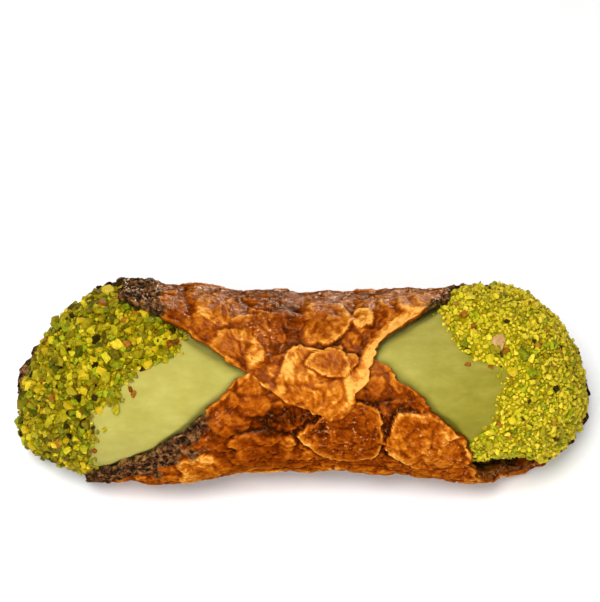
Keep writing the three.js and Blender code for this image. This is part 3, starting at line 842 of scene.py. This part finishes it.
def cream_grid():
    """The cream's surface as a grid of points, with how far each lies inside the nuts."""
    x = np.repeat(cream_rings()[:, None], CREAM_SIDES, axis=1)
    around = np.broadcast_to(np.arange(CREAM_SIDES) * 360 / CREAM_SIDES, x.shape)
    point = cream_points(x, around)
    cover = nut_cover(point)
    coated = smoothstep(cover, -0.5, 2.5)
    px, py, pz = (point[..., n] for n in range(3))
    swirl = 0.2 * noise(px / 6, py / 4, pz / 4) + 0.07 * noise(px / 2.4, py / 1.3, pz / 1.3)
    crumbs = sum(rise * noise(px / size, py / size, pz / size) for size, rise in COAT_LUMPS)
    _, centre_y, centre_z = cream_section(x)
    out_y, out_z = py - centre_y, pz - centre_z
    length = np.maximum(np.hypot(out_y, out_z), 1e-6)
    bump = lerp(swirl, crumbs - NUT_COAT, coated) * np.minimum(length / 4, 1)
    point[..., 0] -= coated * NUT_COAT * px / ENDS[1]["tip"]
    point[..., 1] += bump * out_y / length
    point[..., 2] += bump * out_z / length
    return point, cover


def make_cream(point, cover):
    rings, sides = point.shape[:2]
    index = np.arange(rings * sides).reshape(rings, sides)
    a, b = index[:-1], index[1:]
    a2, b2 = np.roll(a, -1, axis=1), np.roll(b, -1, axis=1)
    quads = np.stack([a, a2, b2, b], axis=-1).reshape(-1, 4)
    triangles = np.concatenate([quads[:, [0, 1, 2]], quads[:, [0, 2, 3]]]).tolist()
    points = point.reshape(-1, 3)
    poles = [point[0].mean(axis=0), point[-1].mean(axis=0)]
    for n, ring in enumerate((index[0], index[-1])):
        pole = len(points) + n
        triangles += [(pole, ring[i], ring[(i + 1) % sides]) for i in range(sides)]
    cream = mesh_object("pistachio_cream", np.concatenate([points, poles]), triangles)
    close_and_orient(cream)
    coat = smoothstep(cover, -0.8, 1.6).reshape(-1)
    set_attribute(cream, "coat", np.append(coat, [1, 1]))
    # Painted shade share, growing to the right and the bottom: bare cream is painted darker there, the
    # nuts' coat paler.
    deep = smoothstep(point[..., 0] - 0.7 * point[..., 1], 4, 54).reshape(-1)
    set_attribute(cream, "deep", np.append(deep, [0, 1]))
    return cream


# ---- The chopped pistachios ----


def chopped_shapes(rng, count):
    """Chopped pieces as hulls of points on a rough block, about 30 triangles each."""
    shapes = []
    for _ in range(count):
        bm = bmesh.new()
        for point in rng.uniform(-1, 1, (17, 3)):
            blocky = point / (np.abs(point) ** 3).sum() ** (1 / 3)
            bm.verts.new(blocky * (1, 0.84, 0.74) * rng.uniform(0.42, 0.52))
        bmesh.ops.convex_hull(bm, input=bm.verts)
        bmesh.ops.delete(bm, geom=[v for v in bm.verts if not v.link_faces], context="VERTS")
        bmesh.ops.triangulate(bm, faces=bm.faces)
        bm.verts.index_update()
        verts = np.array([v.co for v in bm.verts])
        faces = np.array([[v.index for v in f.verts] for f in bm.faces])
        shapes.append((verts, faces))
        bm.free()
    return shapes


def turned_to(out, unruly, rng):
    """A random turn that lays a piece's flat side roughly on the surface with that outward side."""
    up = out + rng.normal(0, unruly, 3)
    up /= np.linalg.norm(up)
    side = np.cross(up, rng.normal(0, 1, 3))
    side /= np.linalg.norm(side)
    return np.stack([side, np.cross(up, side), up], axis=1)


NEIGHBOURS = [(i, j, k) for i in (-1, 0, 1) for j in (-1, 0, 1) for k in (-1, 0, 1)]


def outward_sides(point):
    """The outward direction and the area of each cell of the cream's grid."""
    down = point[1:, :] - point[:-1, :]
    across = np.roll(point, -1, axis=1) - point
    out = np.cross(down, across[:-1])
    area = np.linalg.norm(out, axis=-1)
    return out / np.maximum(area, 1e-9)[..., None], area


def scatter_chunks(point, cover, side, rng):
    """Places for the chopped pieces of one end, the largest first, evenly apart."""
    out, area = outward_sides(point)
    middle = point[:-1]
    chance = smoothstep(cover[:-1], *NUT_FADE) ** 2 * (middle[..., 0] * side > 0)
    weight = (area * chance).reshape(-1)
    weight /= weight.sum()
    cell = CHUNKS[side][0][0]
    spots, ups, sizes, cells = [], [], [], {}
    for size, most in CHUNKS[side]:
        placed = 0
        for t in rng.choice(len(weight), most * 4, p=weight):
            ring, turn = divmod(t, point.shape[1])
            spot = lerp(point[ring, turn], point[ring + 1, turn], rng.random())
            if size > LARGE_FROM and cover[ring, turn] < LARGE_INSET * size:
                continue
            home = tuple(np.floor(spot / cell).astype(int))
            near = [n for step in NEIGHBOURS for n in cells.get(tuple(np.add(home, step)), ())]
            if any(np.linalg.norm(spots[n] - spot) < NUT_SPACING * (sizes[n] + size) for n in near):
                continue
            cells.setdefault(home, []).append(len(spots))
            spots.append(spot)
            ups.append(out[ring, turn])
            sizes.append(size)
            placed += 1
            if placed == most:
                break
    return spots, ups, sizes


def drawn_kind(spot, shares, rng):
    """The kind of a piece. Rare kinds lie in bunches."""
    chances = np.array(list(shares.values()))
    bunched = np.maximum(noise(*(spot / BUNCH_SIZE)), 0)
    here = chances * np.where(chances < RARE_BELOW, 1 + 5 * bunched, 1)
    return list(shares)[rng.choice(len(shares), p=here / here.sum())]


def make_nuts(point, cover):
    """The chopped pieces, joined into one mesh for each kind."""
    rng = np.random.default_rng(SEED)
    shapes = chopped_shapes(rng, 14)
    kinds = {kind: ([], [], [], []) for kind in NUT_COLOURS}

    def add(spot, up, size, kind, shade, raised, unruly):
        verts, faces = shapes[rng.integers(len(shapes))]
        scale = size * rng.uniform(0.85, 1.2)
        stretch = scale * np.array([rng.uniform(0.9, 1.35), 1, rng.uniform(0.85, 1.25)])
        turned = (verts * stretch) @ turned_to(up, unruly, rng).T + spot + up * size * raised
        points, triangles, shades, rounded = kinds[kind]
        triangles.append(faces + sum(len(p) for p in points))
        points.append(turned)
        shades.append(np.full(len(verts), shade))
        rounded.append(np.full(len(faces), size < FLAT_SIDED_FROM))

    for side, shares in KIND_SHARES.items():
        for spot, up, size in zip(*scatter_chunks(point, cover, side, rng)):
            kind = drawn_kind(spot, shares, rng)
            shade, raised = lerp(*NUT_SHADES[side], rng.random()), rng.uniform(0, 0.45)
            add(spot, up, size, kind, shade, raised, unruly=0.5)
    out, _ = outward_sides(point)
    angles = angle_of(point[:-1])
    for x, angle, size, kind in LONE_PIECES:
        aside = arc(np.mod(angles - angle + 180, 360) - 180)
        nearest = np.unravel_index(np.hypot(point[:-1, :, 0] - x, aside).argmin(), angles.shape)
        raised = 0.36 if cover[nearest] > 0 else 0.15
        add(point[nearest], out[nearest], size, kind, 0.5, raised, unruly=0.2)
    objects = {}
    for kind, (points, triangles, shades, rounded) in kinds.items():
        obj = mesh_object(f"pistachio_{kind}", np.concatenate(points), np.concatenate(triangles))
        obj.data.polygons.foreach_set("use_smooth", np.concatenate(rounded))
        set_attribute(obj, "shade", np.concatenate(shades))
        objects[kind] = obj
    return objects


# ---- Materials ----


def linear(rgb):
    """A colour given as 0 to 255 sRGB, as the shader's linear RGBA."""
    c = np.array(rgb) / 255
    return (*np.where(c <= 0.04045, c / 12.92, ((c + 0.055) / 1.055) ** 2.4), 1)


class Shader:
    """A material with its Principled shader, and short ways to add nodes to it."""

    def __init__(self, name):
        self.material = bpy.data.materials.new(name)
        self.material.use_nodes = True
        self.tree = self.material.node_tree

    def fill(self, node, inputs):
        """Gives a node's inputs a value each, or links them to another node's output."""
        for socket, value in inputs.items():
            if isinstance(value, bpy.types.NodeSocket):
                self.tree.links.new(value, node.inputs[socket])
            else:
                node.inputs[socket].default_value = value

    def set(self, **inputs):
        surface = self.tree.nodes["Principled BSDF"]
        self.fill(surface, {name.replace("_", " "): value for name, value in inputs.items()})

    def add(self, kind, inputs, **settings):
        node = self.tree.nodes.new(kind)
        for name, value in settings.items():
            setattr(node, name, value)
        self.fill(node, inputs)
        return node

    def attribute(self, name):
        return self.add("ShaderNodeAttribute", {}, attribute_name=name).outputs["Fac"]

    def noise(self, scale, detail=4, roughness=0.55, stretch=(1, 1, 1)):
        place = self.add("ShaderNodeTexCoord", {}).outputs["Object"]
        stretched = self.add("ShaderNodeVectorMath", {0: place, 1: stretch}, operation="MULTIPLY")
        inputs = {"Vector": stretched.outputs["Vector"], "Scale": scale, "Detail": detail}
        return self.add("ShaderNodeTexNoise", {**inputs, "Roughness": roughness}).outputs["Fac"]

    def ramp(self, factor, stops):
        node = self.add("ShaderNodeValToRGB", {"Fac": factor})
        elements = node.color_ramp.elements
        while len(elements) < len(stops):
            elements.new(0.5)
        for element, (position, rgb) in zip(elements, stops):
            element.position = position
            element.color = linear(rgb)
        return node.outputs["Color"]

    def math(self, operation, first, second):
        inputs = {0: first, 1: second}
        return self.add("ShaderNodeMath", inputs, operation=operation).outputs["Value"]

    def scaled(self, value, low, high, to_low, to_high):
        ends = {"From Min": low, "From Max": high, "To Min": to_low, "To Max": to_high}
        return self.add("ShaderNodeMapRange", {"Value": value, **ends}).outputs["Result"]

    def mix(self, factor, first, second):
        inputs = {"Factor": factor, "A": first, "B": second}
        return self.add("ShaderNodeMix", inputs, data_type="RGBA").outputs["Result"]

    def bump(self, height, strength, distance):
        inputs = {"Height": height, "Strength": strength, "Distance": distance}
        normal = self.add("ShaderNodeBump", inputs).outputs["Normal"]
        self.set(Normal=normal, Coat_Normal=normal)


def crust_material():
    """Caramel brown, glossy dough crisp from frying: hollows carry painted shade and ridges painted
    highlight, and fine bubbles catch the light, through the gloss and as painted pale glints.
    """
    shader = Shader("fried_crust")
    grain_and_shading = shader.noise(1250, 5, 0.65)
    # Painted shade and highlight: the noise that raises the fine bumps paints them paler, their dips
    # darker.
    toast_and_shade = shader.math("ADD", shader.attribute("toast_and_shade"), shader.scaled(grain_and_shading, 0.3, 0.7, 0.13, -0.13))
    crust_colour = shader.ramp(toast_and_shade, [
        (0.0, (222, 160, 72)), (0.12, (192, 118, 32)), (0.26, (166, 89, 14)), (0.4, (144, 68, 6)),
        (0.54, (120, 50, 3)), (0.7, (94, 34, 1)), (0.84, (70, 24, 0)), (1.0, (42, 14, 1)),
    ])
    coarse = shader.noise(700, 4, 0.6)
    # The black lining's colour, which also paints the shade deep inside the tube and in the lower lip.
    char_and_shade = shader.ramp(coarse, [(0.36, (146, 100, 54)), (0.47, (82, 52, 28)), (0.58, (30, 19, 12))])
    colour = shader.mix(shader.attribute("lining_and_shade"), crust_colour, char_and_shade)
    glint_specks = shader.scaled(shader.noise(1100, 4, 0.65), 0.55, 0.66, 0.0, 1.0)
    cluster = shader.scaled(shader.noise(360, 2), 0.38, 0.54, 0.0, 1.0)
    glint = shader.math("MULTIPLY", shader.math("MULTIPLY", glint_specks, cluster), shader.attribute("glint"))
    # Painted glints: pale specks mixed into the colour.
    pale = shader.ramp(glint, [(0.0, (190, 112, 54)), (1.0, (232, 172, 112))])
    colour = shader.mix(shader.scaled(glint, 0.05, 0.9, 0.0, 0.7), colour, pale)
    shader.set(Base_Color=colour, Roughness=0.5, Specular_IOR_Level=0)
    shader.set(Coat_Weight=0.9, Coat_Roughness=0.07)
    shader.bump(shader.math("ADD", grain_and_shading, coarse), 0.6, 0.0004)
    return shader.material


SPATULA_STREAKS = (0.5, 1, 1)  # how much longer the cream's streaks are along the tube


def cream_material():
    """Cream with faint spatula streaks, painted shade that darkens it towards the right and the
    bottom, and the nuts' fine coat on it.
    """
    shader = Shader("pistachio_cream")
    streaks = shader.noise(320, 5, 0.65, SPATULA_STREAKS)
    grains = shader.noise(900, 5)

    def from_left_to_right(factor, left, right):
        """Two ramps of three colours, mixed by how far right and low a place is."""
        ramps = (shader.ramp(factor, list(zip((0.3, 0.5, 0.7), colours))) for colours in (left, right))
        return shader.mix(shader.attribute("deep"), *ramps)

    bare = from_left_to_right(
        streaks,
        [(146, 138, 60), (154, 146, 68), (162, 154, 78)],
        # Painted shade: the bare cream's darker colours to the right and the bottom.
        [(112, 104, 20), (121, 113, 28), (132, 124, 40)],
    )
    coat = from_left_to_right(
        grains,
        [(84, 72, 0), (128, 113, 2), (156, 140, 8)],
        [(120, 106, 2), (150, 135, 8), (172, 156, 20)],
    )
    shader.set(Base_Color=shader.mix(shader.attribute("coat"), bare, coat), Roughness=0.5)
    shader.set(Specular_IOR_Level=0.2, Subsurface_Weight=0.1, Subsurface_Scale=0.002)
    shader.bump(shader.noise(1500, 4), 0.12, 0.0003)
    return shader.material


def nut_material(kind, stops):
    shader = Shader(f"pistachio_{kind}")
    fine = shader.scaled(shader.noise(1500, 4, 0.65), 0.3, 0.7, -0.35, 0.35)
    shade = shader.math("ADD", shader.attribute("shade"), fine)
    shader.set(Base_Color=shader.ramp(shade, stops), Roughness=0.5)
    shader.set(Specular_IOR_Level=0.3, Subsurface_Weight=0.15, Subsurface_Scale=0.0012)
    shader.bump(shader.noise(1800, 4), 0.5, 0.0003)
    return shader.material


NUT_COLOURS = {
    "lime": [(0.0, (114, 102, 0)), (0.5, (148, 135, 2)), (1.0, (190, 174, 22))],
    "olive": [(0.0, (78, 66, 0)), (0.5, (118, 104, 0)), (1.0, (148, 132, 6))],
    "yellow": [(0.0, (154, 128, 0)), (0.5, (180, 153, 4)), (1.0, (210, 188, 44))],
    "green": [(0.0, (66, 68, 0)), (0.5, (106, 109, 0)), (1.0, (154, 158, 10))],
    "skin": [(0.0, (98, 46, 2)), (0.5, (138, 80, 6)), (1.0, (166, 112, 28))],
    # Near-black pieces: partly dark bits, partly painted shade standing for shadowed gaps among the
    # nuts.
    "dark": [(0.0, (22, 16, 2)), (1.0, (60, 46, 8))],
    "pink": [(0.0, (150, 112, 60)), (1.0, (194, 156, 98))],
}

# ---- Camera, light and floor ----

LENS, SENSOR = 135, 36
CAMERA_ELEVATION = 45
CAMERA_DISTANCE = 0.547
CAMERA_TARGET = (0, 0, 0.024)
IMAGE_SIZE = (600, 602)
TARGET_PIXEL = (304.5, 382)  # where the target lies in the picture

# Soft discs of light aimed at the pastry: the way round it, elevation, distance, size and power, and
# whether the light only makes highlights. Key and fill light the pastry evenly, and the small
# sparkle and the low rim light behind give the crust its glints.
LIGHTS = {
    "key": (-20, 60, 0.9, 0.45, 7.6, False),
    "fill": (-4, 28, 0.8, 0.6, 3.8, False),
    "sparkle": (-30, 64, 0.9, 0.16, 3.2, True),
    "rim": (170, 10, 0.9, 0.18, 2.7, True),
}
GLINT_TINT = (1, 0.7, 0.46)
WORLD_LIGHT = 0.39
FLOOR_WHITE = 0.95


def direction(azimuth, elevation):
    """The way towards a place round the object: azimuth 0 is the camera's side, 90 the right."""
    a, e = np.radians(azimuth), np.radians(elevation)
    return Vector((np.sin(a) * np.cos(e), -np.cos(a) * np.cos(e), np.sin(e)))


def aim(obj, azimuth, elevation, distance):
    """Puts an object that far from the camera's target and turns it towards it."""
    away = direction(azimuth, elevation)
    obj.location = Vector(CAMERA_TARGET) + away * distance
    obj.rotation_euler = (-away).to_track_quat("-Z", "Y").to_euler()


def make_camera():
    camera = add_object("camera", bpy.data.cameras.new("camera"))
    aim(camera, 0, CAMERA_ELEVATION, CAMERA_DISTANCE)
    camera.data.lens = LENS
    camera.data.sensor_width = SENSOR
    camera.data.sensor_fit = "HORIZONTAL"
    camera.data.shift_x = (IMAGE_SIZE[0] / 2 - TARGET_PIXEL[0]) / IMAGE_SIZE[0]
    camera.data.shift_y = (TARGET_PIXEL[1] - IMAGE_SIZE[1] / 2) / IMAGE_SIZE[0]
    bpy.context.scene.camera = camera


def make_light(name, azimuth, elevation, distance, size, watts, glossy):
    """A disc of light aimed at the pastry. A glossy one is warm, and only makes highlights."""
    light = bpy.data.lights.new(name, "AREA")
    light.shape = "DISK"
    light.size = size
    light.energy = watts
    obj = add_object(name, light)
    aim(obj, azimuth, elevation, distance)
    obj.visible_glossy = glossy
    obj.visible_diffuse = not glossy
    if glossy:
        light.color = GLINT_TINT


def make_floor():
    mesh = bpy.data.meshes.new("floor")
    half = 3
    corners = [(-half, -half, 0), (half, -half, 0), (half, half, 0), (-half, half, 0)]
    mesh.from_pydata(corners, [], [(0, 1, 2, 3)])
    floor = add_object("floor", mesh)
    shader = Shader("floor")
    shader.set(Base_Color=(FLOOR_WHITE, FLOOR_WHITE, FLOOR_WHITE, 1), Roughness=1)
    mesh.materials.append(shader.material)
    floor.visible_glossy = False


def make_world():
    world = bpy.data.worlds.new("studio")
    world.use_nodes = True
    background = world.node_tree.nodes["Background"]
    background.inputs["Color"].default_value = (1, 1, 1, 1)
    background.inputs["Strength"].default_value = WORLD_LIGHT
    bpy.context.scene.world = world
    world.cycles_visibility.glossy = False
    bpy.context.scene.view_settings.view_transform = "Standard"


# ---- Assembly ----

make_camera()
make_world()
make_floor()
for name, settings in LIGHTS.items():
    make_light(name, *settings)

shell = make_shell()
shell.data.materials.append(crust_material())
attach(shell, "root")
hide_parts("shell")

grid, nut_depth = cream_grid()
cream = make_cream(grid, nut_depth)
cream.data.materials.append(cream_material())
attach(cream, "root")
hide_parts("cream")

for kind, nuts in make_nuts(grid, nut_depth).items():
    nuts.data.materials.append(nut_material(kind, NUT_COLOURS[kind]))
    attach(nuts, "root")
    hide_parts("cream")
